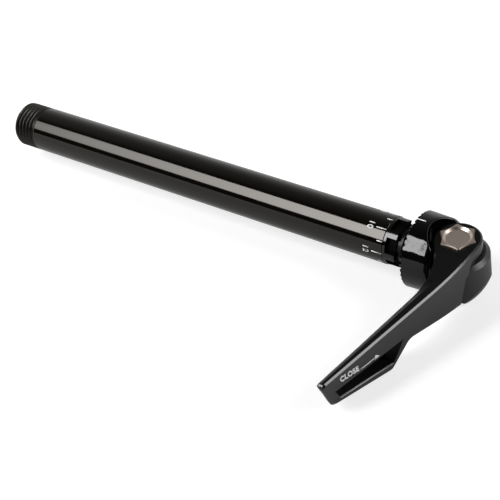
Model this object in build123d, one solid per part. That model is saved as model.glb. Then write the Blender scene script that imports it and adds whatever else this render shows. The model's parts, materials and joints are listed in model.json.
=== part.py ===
from build123d import *
from math import asin, atan, atan2, cos, degrees, hypot, radians, sin, sqrt, tan
import os

# Bicycle thru axle, 15 mm, with a cam lever. Millimetres.
# The head is modelled with x = 0 on the clamp face and +X along the axle, out of the wheel.
# The finished pieces move by one axle length, so the origin is the centre of the threaded end,
# and roll about X until the drum rim and the lever both lie on a level floor.

# Axle shaft
axle_length = 158.0
shaft_radius = 7.5
bore_radius = 5.2
thread_length = 9.5
thread_radius = 7.0
thread_chamfer = 0.9
web_thickness = 5.0

# Neck between shaft and head
collar_length = 4.0
collar_radius = 7.3
collar_ring = 0.8
collar_slot_count = 6
collar_slot_angle = 40.0
collar_slot_turn = 31.5
collar_slot_floor = 6.0
shoulder_length = 1.5
shoulder_radius = 5.6
nose_length = 2.6
nose_radius = 6.6
neck_gap = 0.4
seal_width = 1.6
seal_thickness = 1.2
seal_proud = 0.25

# Draw spindle and the screw that holds it in the shaft
rod_radius = 4.0
key_flats = 8.6
key_depth = 5.9
eye_wall = 1.7
eye_height = 5.0
screw_radius = 2.5
screw_length = 16.0
screw_head_radius = 4.25
screw_head_height = 5.0
screw_socket_flats = 4.0
screw_socket_depth = 2.5
screw_washer_thickness = 0.8

# Cam shaft with its star head
pivot_offset = 13.43
cam_throw = 0.65
eccentric_radius = 3.6
journal_step = 0.15
star_tip_radius = 5.69
star_valley_radius = 4.7
star_scallop_radius = 10.0
star_points = 6
star_proud = 0.69
star_seat = 6.8
star_chamfer = 0.25
star_dish_radius = 4.25
star_dish_floor = 3.5
star_dish_depth = 0.55
lower_journal_end = 8.45
cam_screw_radius = 1.5
cam_screw_length = 6.0
cam_screw_head_radius = 2.9
cam_screw_head_height = 1.6
cam_screw_socket_flats = 2.5
cam_screw_socket_depth = 1.1
cam_washer_radius = 4.4
cam_washer_thickness = 0.6

# Housing: clamp drum and the domed barrel round the cam
drum_radius = 11.8
drum_taper = 0.3
drum_setback = 3.9
drum_round = 2.2
rim_chamfer = 0.35
tooth_count = 40
tooth_depth = 0.85
tooth_band = 2.2
barrel_radius = 9.1
barrel_chamfer = 1.2
barrel_round = 0.8
dome_radius = 16.4
dome_reach = 9.6
shelf_height = 4.2
cheek_moat = 1.35
moat_round = 0.5
guide_radius = 7.0
guide_depth = 4.0
upper_bush_wall = 0.8
lower_bush_wall = 0.7
flange_radius = 6.3
flange_thickness = 0.4

# Lever
lever_top = 9.0
lever_foot = 7.0
cheek_radius = 7.1
outer_angle = 11.1
outer_offset = 9.04
outer_blend = 137.0
inner_offset = 4.29
inner_blend = 30.0
inner_flare = 3.5
tip_reach = 67.2
tip_thickness = 2.05
tip_trim = 1.0
tip_skew = 1.4
foot_skew = 6.0
tip_setback = 3.0
tip_low = 0.8
tip_round = 2.6
paddle_reach = 41.3
paddle_drop = 6.25
paddle_round = 2.2
waist_reach = 33.5
waist_drop = 0.6
waist_round = 3.0
heel_reach = 8.0
heel_drop = 6.0
crotch_radius = 10.6
crotch_spread = 3.1
edge_bevel = 0.5
pocket_wall = 1.2
pocket_rim = 2.3
pocket_draft = 0.8
pocket_ramp = 7.5

# Fits
press_clearance = 0.02
running_clearance = 0.05
eye_clearance = 0.2
screw_clearance = 0.2
cavity_clearance = 0.4
swing_clearance = 0.35
tap_clearance = 0.05
end_float = 0.1

# Places along the axle, from the clamp face
shoulder_x = -nose_length - neck_gap
collar_x = shoulder_x - shoulder_length
shaft_x = collar_x - collar_length
socket_x = shaft_x - key_depth - end_float
web_x = socket_x - web_thickness
key_end_x = shaft_x - key_depth
eye_x = pivot_offset + cam_throw
seal_x = -nose_length / 2
seal_radius = nose_radius + seal_proud

# Heights along the pivot
cheek_under = shelf_height + flange_thickness + running_clearance
cavity_height = eye_height / 2 + swing_clearance
journal_radius = eccentric_radius + cam_throw + journal_step
lower_journal_radius = eccentric_radius - cam_throw - running_clearance
upper_bush_radius = journal_radius + running_clearance + upper_bush_wall
lower_bush_radius = lower_journal_radius + running_clearance + lower_bush_wall

# Lean of the arm's inner face, which brings the top of the tip to its thickness
arm_taper = (outer_offset - inner_offset - tip_thickness) / tip_reach
inner_angle = degrees(atan(tan(radians(outer_angle)) - arm_taper))

# Clear of the far side of any piece
beyond = 100.0


def along_x(profile):
    """Revolve (x, radius) points about the axle."""
    return revolve(make_face(Polyline(*profile, close=True)), Axis.X)


def about_pivot(profile):
    """Revolve (radius, z) points about the pivot, which stands on x = pivot_offset."""
    outline = make_face(Plane.XZ * Polyline(*profile, close=True))
    return Pos(pivot_offset, 0, 0) * revolve(outline, Axis.Z)


def rod_x(radius, start, end):
    """Round bar along the axle from x = start to x = end."""
    return Pos(start, 0, 0) * extrude(Plane.YZ * Circle(radius), end - start)


def hex_x(flats, start, end, turn=0.0):
    """Hexagon bar along the axle, given across flats."""
    outline = Rot(0, 0, turn) * RegularPolygon(flats / 2, 6, major_radius=False)
    return Pos(start, 0, 0) * extrude(Plane.YZ * outline, end - start)


def rod_z(radius, low, high):
    """Round bar along the pivot from z = low to z = high."""
    return Pos(pivot_offset, 0, low) * extrude(Circle(radius), high - low)


def arc_about(centre, start, end):
    """Arc from start to end round centre, the short way."""
    radius = (start - centre).length
    middle = centre + ((start - centre) + (end - centre)).normalized() * radius
    return ThreePointArc(start, middle, end)


def shaft():
    """Hollow axle: threaded end, long bore, web for the screw, twelve point socket."""
    tube = along_x([
        (-axle_length, 0),
        (-axle_length, thread_radius - thread_chamfer),
        (-axle_length + thread_chamfer, thread_radius),
        (-axle_length + thread_length, thread_radius),
        (-axle_length + thread_length, shaft_radius),
        (shaft_x, shaft_radius),
        (shaft_x, 0),
    ])
    tube -= rod_x(bore_radius, -axle_length, web_x)
    tube -= rod_x(screw_radius + screw_clearance, web_x, socket_x)
    socket_flats = key_flats + 2 * running_clearance
    for turn in (0, 30):
        tube -= hex_x(socket_flats, socket_x, shaft_x, turn)
    return tube


def index_collar():
    """Keyed ring on the spindle with slots that open towards the head."""
    ring = rod_x(collar_radius, shaft_x, collar_x)
    ring -= hex_x(key_flats + 2 * running_clearance, shaft_x, collar_x)
    half = radians(collar_slot_angle / 2)
    wedge = make_face(Polyline(
        (0, 0),
        (beyond * cos(half), -beyond * sin(half)),
        (beyond * cos(half), beyond * sin(half)),
        close=True,
    ))
    window = wedge - Circle(collar_slot_floor)
    for index in range(collar_slot_count):
        turn = Rot(0, 0, collar_slot_turn + 360 * index / collar_slot_count)
        cut = extrude(Plane.YZ * (turn * window), collar_length)
        ring -= Pos(shaft_x + collar_ring, 0, 0) * cut
    return ring


def draw_spindle():
    """Draw bar: slotted eye over the eccentric, rod, shoulder, hexagon key, tapped end."""
    eye = SlotCenterToCenter(2 * cam_throw, 2 * (eccentric_radius + eye_clearance + eye_wall))
    hole = SlotCenterToCenter(2 * cam_throw, 2 * (eccentric_radius + eye_clearance))
    place = Pos(eye_x, 0, -eye_height / 2) * Rot(0, 0, 90)
    bar = rod_x(rod_radius, shoulder_x, eye_x)
    bar &= Box(beyond, beyond, eye_height) + Pos(-beyond / 2 + guide_depth, 0, 0) * Box(
        beyond, beyond, beyond
    )
    bar += place * extrude(eye, eye_height)
    bar -= place * extrude(hole, eye_height)
    bar += rod_x(shoulder_radius, collar_x, shoulder_x)
    bar += hex_x(key_flats, key_end_x, collar_x)
    bar -= rod_x(screw_radius + tap_clearance, key_end_x, shoulder_x)
    return bar


def socket_screw(radius, length, head_radius, head_height, flats, socket_depth):
    """Screw along +Z: shank above z = 0, head with a hexagon socket below it."""
    screw = extrude(Circle(radius), length)
    screw += Pos(0, 0, -head_height) * extrude(Circle(head_radius), head_height)
    socket = RegularPolygon(flats / 2, 6, major_radius=False)
    screw -= Pos(0, 0, -head_height) * extrude(socket, socket_depth)
    return screw


def washer(radius, hole, thickness):
    """Flat washer from z = 0 upwards."""
    return extrude(Circle(radius) - Circle(hole), thickness)


def star(grow):
    """Star outline: round bar with hollow scallops between its points."""
    outline = Circle(star_tip_radius + grow)
    reach = star_valley_radius + star_scallop_radius
    for index in range(star_points):
        angle = radians(360 * (index + 0.5) / star_points)
        outline -= Pos(reach * cos(angle), reach * sin(angle)) * Circle(star_scallop_radius - grow)
    return outline


def cam_shaft():
    """Stepped cam: star head, upper journal, eccentric, lower journal with a tapped end."""
    head_top = lever_top + star_proud
    head = extrude(star(0), head_top - star_seat)
    head = chamfer(head.faces().sort_by(Axis.Z)[-1].edges(), star_chamfer)
    half_eye = eye_height / 2
    cam = Pos(pivot_offset, 0, star_seat) * head
    cam -= about_pivot([
        (0, head_top - star_dish_depth),
        (star_dish_floor, head_top - star_dish_depth),
        (star_dish_radius, head_top),
        (0, head_top),
    ])
    cam += rod_z(journal_radius, half_eye + running_clearance, star_seat)
    eccentric = rod_z(eccentric_radius, -half_eye - running_clearance, half_eye + running_clearance)
    cam += Pos(cam_throw, 0, 0) * eccentric
    cam += rod_z(lower_journal_radius, -lower_journal_end, -half_eye - running_clearance)
    tap_top = -lower_journal_end + cam_screw_length + end_float
    cam -= rod_z(cam_screw_radius + tap_clearance, -lower_journal_end, tap_top)
    return cam


def housing():
    """Clamp drum with a toothed face, and the domed barrel that carries the cam."""
    drum_x = pivot_offset - drum_setback
    dome_x = pivot_offset + dome_reach
    end_radius = drum_radius - drum_taper
    dome_centre = Vector(dome_x - dome_radius, 0)
    dome_start = dome_centre + Vector(sqrt(dome_radius**2 - end_radius**2), end_radius)
    half_section = make_face([
        Polyline(
            (0, 0),
            (0, drum_radius - rim_chamfer),
            (rim_chamfer, drum_radius),
            (drum_x, end_radius),
            dome_start,
        ),
        arc_about(dome_centre, dome_start, Vector(dome_x, 0)),
        Line((dome_x, 0), (0, 0)),
    ])
    turned = revolve(half_section, Axis.X)

    drum = split(turned, Plane.YZ.offset(drum_x), keep=Keep.BOTTOM)
    outer_edge = drum.edges().filter_by(GeomType.CIRCLE).sort_by(Axis.X)[-1]
    drum = fillet(outer_edge, drum_round)
    moat = cheek_radius + cheek_moat
    flat = barrel_radius - barrel_chamfer
    drum -= about_pivot([
        (0, shelf_height),
        (flat, shelf_height),
        (moat, shelf_height - moat + flat),
        (moat, beyond),
        (0, beyond),
    ])
    drum = fillet(drum.edges().filter_by(GeomType.BSPLINE), moat_round)

    barrel = about_pivot([
        (0, -drum_radius),
        (barrel_radius, -drum_radius),
        (barrel_radius, shelf_height - barrel_chamfer),
        (flat, shelf_height),
        (0, shelf_height),
    ])
    barrel &= turned
    under = barrel.edges().filter_by(GeomType.BSPLINE).filter_by_position(Axis.X, pivot_offset, beyond)
    body = drum + fillet(under, barrel_round)

    eye_room = eccentric_radius + eye_clearance + eye_wall + cavity_clearance
    pocket = Pos(eye_x, 0) * Rot(0, 0, 90) * SlotCenterToCenter(2 * cam_throw, 2 * eye_room)
    pocket += Pos(eye_x / 2, 0) * Rectangle(eye_x, 2 * (eye_room + cam_throw))
    body -= Pos(0, 0, -cavity_height) * extrude(pocket, 2 * cavity_height)
    body -= rod_x(guide_radius + press_clearance, 0, guide_depth)
    body -= rod_z(upper_bush_radius + press_clearance, 0, shelf_height)
    body -= rod_z(lower_bush_radius + press_clearance, -beyond, 0)
    body -= rod_z(cam_washer_radius + cavity_clearance, -beyond, -lower_journal_end + end_float)

    notch = Rot(0, 0, 45) * Rectangle(tooth_depth * sqrt(2), tooth_depth * sqrt(2))
    groove = Pos(0, 0, drum_radius - tooth_band) * extrude(notch, 2 * tooth_band)
    body -= [Rot(360 * index / tooth_count, 0, 0) * groove for index in range(tooth_count)]
    return body


def guide_bush():
    """Plastic sleeve in the drum that guides the rod; its nose carries the seal."""
    sleeve = along_x([
        (-nose_length, rod_radius + running_clearance),
        (-nose_length, nose_radius),
        (0, nose_radius),
        (0, guide_radius),
        (guide_depth, guide_radius),
        (guide_depth, rod_radius + running_clearance),
    ])
    return sleeve - seal_ring(press_clearance)


def seal_ring(grow):
    """Square cut ring on the guide bush nose, or with grow the groove that takes it."""
    half = seal_width / 2 + grow
    floor = seal_radius - seal_thickness - grow
    ring = rod_x(seal_radius + grow, seal_x - half, seal_x + half)
    return ring - rod_x(floor, seal_x - half, seal_x + half)


def upper_bush():
    """Flanged bush: the journal turns in it and the cheek of the lever rides on its flange."""
    hole = journal_radius + running_clearance
    return about_pivot([
        (hole, cavity_height),
        (upper_bush_radius, cavity_height),
        (upper_bush_radius, shelf_height),
        (flange_radius, shelf_height),
        (flange_radius, shelf_height + flange_thickness),
        (hole, shelf_height + flange_thickness),
    ])


def lower_bush():
    """Plain bush round the lower journal."""
    return about_pivot([
        (lower_journal_radius + running_clearance, -lower_journal_end + end_float),
        (lower_bush_radius, -lower_journal_end + end_float),
        (lower_bush_radius, -cavity_height),
        (lower_journal_radius + running_clearance, -cavity_height),
    ])


def arm_frame(lean):
    """Unit vectors of one arm face in plan: out of the face, and along it to the tip."""
    angle = radians(lean)
    return Vector(cos(angle), -sin(angle)), Vector(-sin(angle), -cos(angle))


def along_face(lean, offset, reach):
    """Distance along an arm face at which it has come as far as reach from the pivot."""
    return (reach - offset * sin(radians(lean))) / cos(radians(lean))


def arm_outline(offset, reach, skew):
    """Plan of the lever about its pivot: round cheek, bowed outer face, hollow inner face, skewed tip."""
    out, down = arm_frame(outer_angle)
    run = sqrt((outer_blend - cheek_radius) ** 2 - (outer_blend - outer_offset) ** 2)
    centre = out * (outer_offset - outer_blend) + down * run
    outer_cheek = centre * (-cheek_radius / centre.length)
    outer_start = out * outer_offset + down * run
    outer_end = out * outer_offset + down * along_face(outer_angle, outer_offset, reach + tip_trim)

    inner_out, inner_down = arm_frame(inner_angle)
    inner_run = sqrt((inner_blend + cheek_radius) ** 2 - (inner_blend - offset) ** 2)
    inner_centre = inner_out * (offset - inner_blend) + inner_down * inner_run
    inner_cheek = inner_centre * (cheek_radius / inner_centre.length)
    inner_start = inner_out * offset + inner_down * inner_run
    inner_end = inner_out * offset + inner_down * along_face(inner_angle, offset, reach + tip_trim - skew)

    back = (outer_cheek + inner_cheek).normalized() * -cheek_radius
    return make_face([
        ThreePointArc(inner_cheek, back, outer_cheek),
        arc_about(centre, outer_cheek, outer_start),
        Line(outer_start, outer_end),
        Line(outer_end, inner_end),
        Line(inner_end, inner_start),
        arc_about(inner_centre, inner_start, inner_cheek),
    ])


def side_outline():
    """Lever seen from outboard as (reach, z): straight top, waist and dropped paddle."""
    behind = -2 * cheek_radius
    corners = [
        ((behind, lever_top), 0),
        ((tip_reach, lever_top), tip_round / 2),
        ((tip_reach - tip_setback, -tip_low), tip_round),
        ((paddle_reach, -paddle_drop), paddle_round),
        ((waist_reach, -waist_drop), waist_round),
        ((heel_reach, -heel_drop), 0),
        ((behind, -heel_drop), 0),
    ]
    outline = make_face(Polyline(*[point for point, _ in corners], close=True))
    for point, radius in corners:
        if radius:
            corner = outline.vertices().sort_by_distance(point)[0]
            outline = fillet(corner, radius)
    return outline


def arm_depth(reach, height):
    """Thickness of the arm at a point of its outer face, along that face's normal."""
    out, down = arm_frame(outer_angle)
    inner_out, _ = arm_frame(inner_angle)
    point = out * outer_offset + down * along_face(outer_angle, outer_offset, reach)
    offset = inner_offset - inner_flare * (lever_top - height) / (lever_top + lever_foot)
    return point, (point.dot(inner_out) - offset) / out.dot(inner_out)


def pocket_section(corners, depth_share):
    """Quad on the outer face, or on the pocket floor that leaves pocket_wall behind it."""
    out, _ = arm_frame(outer_angle)
    points = []
    for reach, height in corners:
        point, thickness = arm_depth(reach, height)
        sunk = point - out * (depth_share * (thickness - pocket_wall))
        points.append(Vector(sunk.X, sunk.Y, height))
    return make_face(Polyline(*points, close=True))


def finger_pocket():
    """Tapered pocket in the outer face of the paddle, with a long ramp at the waist end."""
    tip_low_reach = tip_reach - tip_setback
    mouth = [
        (waist_reach + pocket_rim, -waist_drop + pocket_rim),
        (tip_low_reach - pocket_rim + pocket_draft, -tip_low + 2 * pocket_rim),
        (tip_low_reach - pocket_rim - pocket_draft, -tip_low + pocket_rim / 2),
        (paddle_reach - pocket_draft, -paddle_drop + pocket_rim),
    ]
    floor = [
        (mouth[0][0] + pocket_ramp, mouth[0][1] - pocket_draft / 2),
        (mouth[1][0] - pocket_draft, mouth[1][1] - pocket_draft),
        (mouth[2][0] - pocket_draft, mouth[2][1] + pocket_draft),
        (mouth[3][0] + 2 * pocket_draft, mouth[3][1] + pocket_draft),
    ]
    return loft([pocket_section(mouth, 0), pocket_section(floor, 1)], ruled=True)


def is_rim(edge):
    """True for the curved edges along the foot of the arm; the bevel runs on from them to the top."""
    return edge.geom_type != GeomType.LINE and edge.center().Y < -crotch_radius and edge.center().Z < 0


def lever():
    """Forged lever: round cheek over the barrel, tapering arm, paddle with a finger pocket."""
    tip_slope = tip_setback / (lever_top + tip_low)
    foot_reach = tip_reach - tip_slope * (lever_top + lever_foot)
    blade = loft([
        Pos(0, 0, lever_top) * arm_outline(inner_offset, tip_reach, tip_skew),
        Pos(0, 0, -lever_foot) * arm_outline(inner_offset - inner_flare, foot_reach, foot_skew),
    ], ruled=True)
    side_plane = Plane((-beyond, 0, 0), x_dir=(0, -1, 0), z_dir=(-1, 0, 0))
    side = extrude(side_plane * side_outline(), -2 * beyond)
    body = blade & side
    body = chamfer(body.edges().filter_by(is_rim), edge_bevel)
    body = Pos(pivot_offset, 0, 0) * body

    flat = barrel_radius - barrel_chamfer + swing_clearance
    shelf_low = shelf_height - barrel_chamfer
    body -= about_pivot([
        (0, cheek_under),
        (flat, cheek_under),
        (flat + cheek_under - shelf_low, shelf_low),
        (crotch_radius, shelf_low - swing_clearance),
        (crotch_radius + crotch_spread, -heel_drop - swing_clearance),
        (crotch_radius + crotch_spread, -beyond),
        (0, -beyond),
    ])
    body -= rod_z(journal_radius + running_clearance, 0, star_seat)
    body -= Pos(pivot_offset, 0, star_seat) * extrude(star(running_clearance), lever_top)
    body -= Pos(pivot_offset, 0, 0) * finger_pocket()
    return body


def lying_roll():
    """Roll about X that brings the drum rim and the paddle corner down to one floor."""
    span = hypot(paddle_reach, paddle_drop)
    return degrees(asin(drum_radius / span) - atan2(paddle_drop, paddle_reach))


screw_head_x = web_x - screw_washer_thickness
up_the_axle = Pos(screw_head_x, 0, 0) * Rot(0, 90, 0)
below_cam = Pos(pivot_offset, 0, -lower_journal_end - cam_washer_thickness)
parts = {
    "axle_shaft": shaft(),
    "index_collar": index_collar(),
    "draw_spindle": draw_spindle(),
    "spindle_screw": up_the_axle * socket_screw(
        screw_radius, screw_length, screw_head_radius, screw_head_height,
        screw_socket_flats, screw_socket_depth,
    ),
    "spindle_washer": up_the_axle * washer(
        bore_radius - cavity_clearance, screw_radius + running_clearance, screw_washer_thickness
    ),
    "guide_bush": guide_bush(),
    "neck_seal": seal_ring(0),
    "clamp_housing": housing(),
    "upper_cam_bush": upper_bush(),
    "lower_cam_bush": lower_bush(),
    "cam_shaft": cam_shaft(),
    "cam_washer": below_cam * washer(
        cam_washer_radius, cam_screw_radius + running_clearance, cam_washer_thickness
    ),
    "cam_screw": below_cam * socket_screw(
        cam_screw_radius, cam_screw_length, cam_screw_head_radius, cam_screw_head_height,
        cam_screw_socket_flats, cam_screw_socket_depth,
    ),
    "lever": lever(),
}

roll = lying_roll()
place = Rot(roll, 0, 0) * Pos(axle_length, 0, 0)
os.makedirs("parts", exist_ok=True)
for name, part in parts.items():
    export_step(place * part, f"parts/{name}.step")
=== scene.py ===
import json

import bmesh
import bpy
import numpy as np
from mathutils import Matrix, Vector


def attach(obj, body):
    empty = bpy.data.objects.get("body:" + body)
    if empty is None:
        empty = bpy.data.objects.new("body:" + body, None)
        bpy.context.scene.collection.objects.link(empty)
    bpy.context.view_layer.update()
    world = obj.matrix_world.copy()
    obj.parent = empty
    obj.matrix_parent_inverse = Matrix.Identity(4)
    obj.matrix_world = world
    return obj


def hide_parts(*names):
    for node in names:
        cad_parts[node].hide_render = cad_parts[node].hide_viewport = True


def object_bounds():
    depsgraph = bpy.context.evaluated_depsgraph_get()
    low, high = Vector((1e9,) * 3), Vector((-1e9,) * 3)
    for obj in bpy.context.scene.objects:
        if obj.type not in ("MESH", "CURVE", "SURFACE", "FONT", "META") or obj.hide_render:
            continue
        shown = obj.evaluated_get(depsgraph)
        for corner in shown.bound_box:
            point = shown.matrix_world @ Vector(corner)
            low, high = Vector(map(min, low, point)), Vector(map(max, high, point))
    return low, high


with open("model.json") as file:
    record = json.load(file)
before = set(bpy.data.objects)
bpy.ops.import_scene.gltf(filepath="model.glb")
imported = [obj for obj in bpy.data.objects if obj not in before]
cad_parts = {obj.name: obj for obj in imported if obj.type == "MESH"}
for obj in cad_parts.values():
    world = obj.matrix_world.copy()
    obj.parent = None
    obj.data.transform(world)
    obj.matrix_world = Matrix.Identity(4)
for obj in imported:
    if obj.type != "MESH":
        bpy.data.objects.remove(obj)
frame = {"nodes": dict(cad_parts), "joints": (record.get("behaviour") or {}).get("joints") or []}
cad_low, cad_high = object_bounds()

# Axle shaft
# An aluminium tube turned to 15 mm, with an M15 x 1.5 thread at the far end and a twelve point socket at the
# near end. It is polished and then anodised black. Everything else is drawn into it or screwed to it.

swing = next(joint for joint in frame["joints"] if joint["name"] == "lever_swing")
axle_roll = np.arctan2(-swing["axis"][1], swing["axis"][2])


def lying(x, y, z):
    """Points in mm, measured from the threaded end with the lever level, turned about the axle by axle_roll
    as the part lies on the floor, and given in metres."""
    across = y * np.cos(axle_roll) - z * np.sin(axle_roll)
    upward = y * np.sin(axle_roll) + z * np.cos(axle_roll)
    return np.stack(np.broadcast_arrays(x, across, upward), axis=-1) * 0.001


def standing(points):
    """The same turn undone: points in metres as the part lies, given as x, y and z in mm, lever level."""
    x, across, upward = np.asarray(points).reshape(-1, 3).T * 1000
    y = across * np.cos(axle_roll) + upward * np.sin(axle_roll)
    z = upward * np.cos(axle_roll) - across * np.sin(axle_roll)
    return x, y, z


def skin(name, points, faces):
    """Object of one smooth mesh, from an array of points and an array of faces, in place at the origin."""
    mesh = bpy.data.meshes.new(name)
    mesh.from_pydata(points.reshape(-1, 3).tolist(), [], faces.tolist())
    mesh.shade_smooth()
    piece = bpy.data.objects.new(name, mesh)
    bpy.context.scene.collection.objects.link(piece)
    return piece


def ring_faces(rows, columns):
    """Faces of a grid that closes on itself both ways: each joins a point to the next one round, and to the
    same two in the next row."""
    index = np.arange(rows * columns).reshape(rows, columns)
    ahead = np.roll(index, -1, axis=0)
    corners = (index, np.roll(index, -1, axis=1), np.roll(ahead, -1, axis=1), ahead)
    return np.stack(corners, axis=-1).reshape(-1, 4)


shaft_radius = 7.5
shaft_end = 149.5
thread_pitch = 1.5
thread_depth = 0.85
thread_crest = 0.13
thread_flank = 0.67
thread_fade = (8.3, 9.7)
thread_stop = 9.8
thread_step = 0.05
thread_end_radius = 6.4
shaft_sides = 120
turn = np.linspace(0, 2 * np.pi, shaft_sides, endpoint=False)


def threaded_radius(x):
    """Radius of the threaded end at x, all round: a wave of flat crests and roots whose phase grows with x
    and falls with the angle, so that it climbs as a right-hand helix. Its depth fades out at the plain shaft,
    and a 45 degree cone cuts it at the end face."""
    phase = (x[:, None] / thread_pitch - turn / (2 * np.pi)) % 1
    flank = np.clip((np.abs(2 * phase - 1) - thread_crest) / thread_flank, 0, 1)
    fade = np.clip((thread_fade[1] - x) / (thread_fade[1] - thread_fade[0]), 0, 1)[:, None]
    return np.minimum(shaft_radius - thread_depth * flank * fade, thread_end_radius + x[:, None])


def twelve_points(flats):
    """Radius of two hexagons across flats laid over each other a twelfth of a turn apart: the larger at each
    angle."""
    sector = (turn + np.pi / 6) % (np.pi / 3) - np.pi / 6
    other = turn % (np.pi / 3) - np.pi / 6
    return np.maximum(flats / 2 / np.cos(sector), flats / 2 / np.cos(other))


socket_flats = 8.7
socket = twelve_points(socket_flats)
socket_floor = 143.5
screw_hole_radius = 2.7
bore_end = 138.5
bore_radius = 5.2
bore_mouth_radius = 5.5

# Rows of points from the threaded end: along the thread, along the plain wall to its broken end, and back
# through the socket and the bore. Rows lie close together next to an edge.
thread_x = np.arange(0, thread_stop, thread_step)
wall_x = np.array([10.2, 12, 40, 80, 120, 147, 149.0, 149.3, 149.35])
inner = [
    (shaft_end, 7.35), (shaft_end, 7.2), (shaft_end, socket), (socket_floor, socket),
    (socket_floor, screw_hole_radius), (bore_end, screw_hole_radius), (bore_end, bore_radius),
    (138.0, bore_radius), (0.6, bore_radius), (0.3, bore_radius), (0, bore_mouth_radius),
]
shaft_x = np.concatenate([thread_x, wall_x, [x for x, _ in inner]])
shaft_r = np.concatenate([
    threaded_radius(thread_x),
    np.full((len(wall_x), len(turn)), shaft_radius),
    np.stack([np.broadcast_to(r, turn.shape) for _, r in inner]),
])
shaft = skin(
    "axle_shaft_tube",
    lying(shaft_x[:, None], shaft_r * np.cos(turn), shaft_r * np.sin(turn)),
    ring_faces(*shaft_r.shape),
)
shaft_crease = 65
shaft.data.set_sharp_from_angle(angle=np.radians(shaft_crease))
shaft.modifiers.new("even_shading", "WEIGHTED_NORMAL").keep_sharp = True
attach(shaft, "axle")
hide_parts("axle_shaft")


def linear(code):
    """Linear colour of an sRGB hex code: x / 12.92 in the darks, ((x + 0.055) / 1.055) to the power 2.4
    above."""
    value = np.array([int(code[i:i + 2], 16) for i in (1, 3, 5)]) / 255
    rgb = np.where(value <= 0.04045, value / 12.92, ((value + 0.055) / 1.055) ** 2.4)
    return (*rgb.tolist(), 1.0)


def add(tree, kind, settings, inputs):
    """Adds a node: settings are its own properties, inputs are its sockets, each set to a value or a link."""
    node = tree.nodes.new(kind)
    for name, value in settings.items():
        setattr(node, name, value)
    for name, value in inputs.items():
        if isinstance(value, bpy.types.NodeSocket):
            tree.links.new(value, node.inputs[name])
        else:
            node.inputs[name].default_value = value
    return node


def blank(name):
    """A new material with an empty node tree."""
    material = bpy.data.materials.new(name)
    material.use_nodes = True
    material.node_tree.nodes.clear()
    return material


def faces_of(piece):
    """Middles and normals of a piece's faces, turned so that the lever is level: x, y and z of each middle in
    mm, and x, y and z of each normal."""
    middles = np.empty(len(piece.data.polygons) * 3)
    normals = np.empty_like(middles)
    piece.data.polygons.foreach_get("center", middles)
    piece.data.polygons.foreach_get("normal", normals)
    return standing(middles), np.array(standing(normals)) / 1000


# Polished tube under a thin clear oxide layer, dyed black: deep warm black with sharp reflections. Fine rings
# from the lathe spread them a little along the axle. The real rings are about 0.05 mm apart, drawn at 0.5 mm.
# The gloss varies over about 4 mm.
shaft_black = blank("black_anodised_aluminium_polished")
tree = shaft_black.node_tree
place = add(tree, "ShaderNodeTexCoord", {}, {})
stretch = add(tree, "ShaderNodeMapping", {}, {"Vector": place.outputs["Object"], "Scale": (2000, 40, 40)})
rings = add(tree, "ShaderNodeTexNoise", {}, {
    "Vector": stretch.outputs["Vector"], "Scale": 1.0, "Detail": 3.0,
})
relief = add(tree, "ShaderNodeBump", {}, {
    "Height": rings.outputs["Fac"], "Strength": 0.05, "Distance": 0.0001,
})
haze = add(tree, "ShaderNodeTexNoise", {}, {
    "Vector": place.outputs["Object"], "Scale": 260.0, "Detail": 4.0,
})
gloss = add(tree, "ShaderNodeMapRange", {}, {
    "Value": haze.outputs["Fac"], "From Min": 0.3, "From Max": 0.7, "To Min": 0.05, "To Max": 0.1,
})
shader = add(tree, "ShaderNodeBsdfPrincipled", {}, {
    "Base Color": linear("#070604"), "Roughness": gloss.outputs["Result"], "IOR": 1.46,
    "Specular Tint": linear("#fffaf3"), "Normal": relief.outputs["Normal"],
})
add(tree, "ShaderNodeOutputMaterial", {}, {"Surface": shader.outputs["BSDF"]})
shaft.data.materials.append(shaft_black)

# The cut thread isn't polished: the same black with a satin veil that dims the lines of light along its
# turns.
thread_black = shaft_black.copy()
thread_black.name = "black_anodised_aluminium_threaded"
gloss = thread_black.node_tree.nodes["Map Range"]
gloss.inputs["To Min"].default_value = 0.3
gloss.inputs["To Max"].default_value = 0.42
shaft.data.materials.append(thread_black)

(face_x, face_y, face_z), _ = faces_of(shaft)
on_thread = face_x < thread_fade[1]
shaft.data.polygons.foreach_set("material_index", on_thread.astype(int))

# Index scale
# White marks printed round the shaft next to the head: a tick for each of twelve positions, with a number at
# every second one. They show how far the lever is turned when the axle is tight.

ink_height = 0.02
mark_radius = shaft_radius + ink_height
mark_right = 149.35
tick_width = 0.36
short_tick = 1.9
long_tick = 3.4
number_x = 144.0
number_height = 2.0
number_weight = 0.02
angle_of_twelve = 175.6


def lettering(words, height, weight):
    """Outline of words in the plain built-in typeface: points (across, up) in mm, centred, with capitals of
    the given height, cut into small triangles that can bend round a shaft."""
    curve = bpy.data.curves.new(words, "FONT")
    curve.body = words
    curve.offset = weight
    curve.space_character = 1.1
    curve.resolution_u = 4
    holder = bpy.data.objects.new(words, curve)
    bpy.context.scene.collection.objects.link(holder)
    flat = bpy.data.meshes.new_from_object(holder.evaluated_get(bpy.context.evaluated_depsgraph_get()))
    bpy.data.objects.remove(holder)
    shape = bmesh.new()
    shape.from_mesh(flat)
    bmesh.ops.triangulate(shape, faces=shape.faces)
    bmesh.ops.subdivide_edges(shape, edges=shape.edges, cuts=1, use_grid_fill=True)
    bmesh.ops.triangulate(shape, faces=shape.faces)
    shape.to_mesh(flat)
    shape.free()
    points = np.empty(len(flat.vertices) * 3)
    flat.vertices.foreach_get("co", points)
    faces = np.empty(len(flat.polygons) * 3, dtype=int)
    flat.polygons.foreach_get("vertices", faces)
    points = points.reshape(-1, 3)[:, :2]
    low, high = points.min(axis=0), points.max(axis=0)
    bpy.data.meshes.remove(flat)
    return (points - (low + high) / 2) * height / (high[1] - low[1]), faces.reshape(-1, 3)


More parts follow.
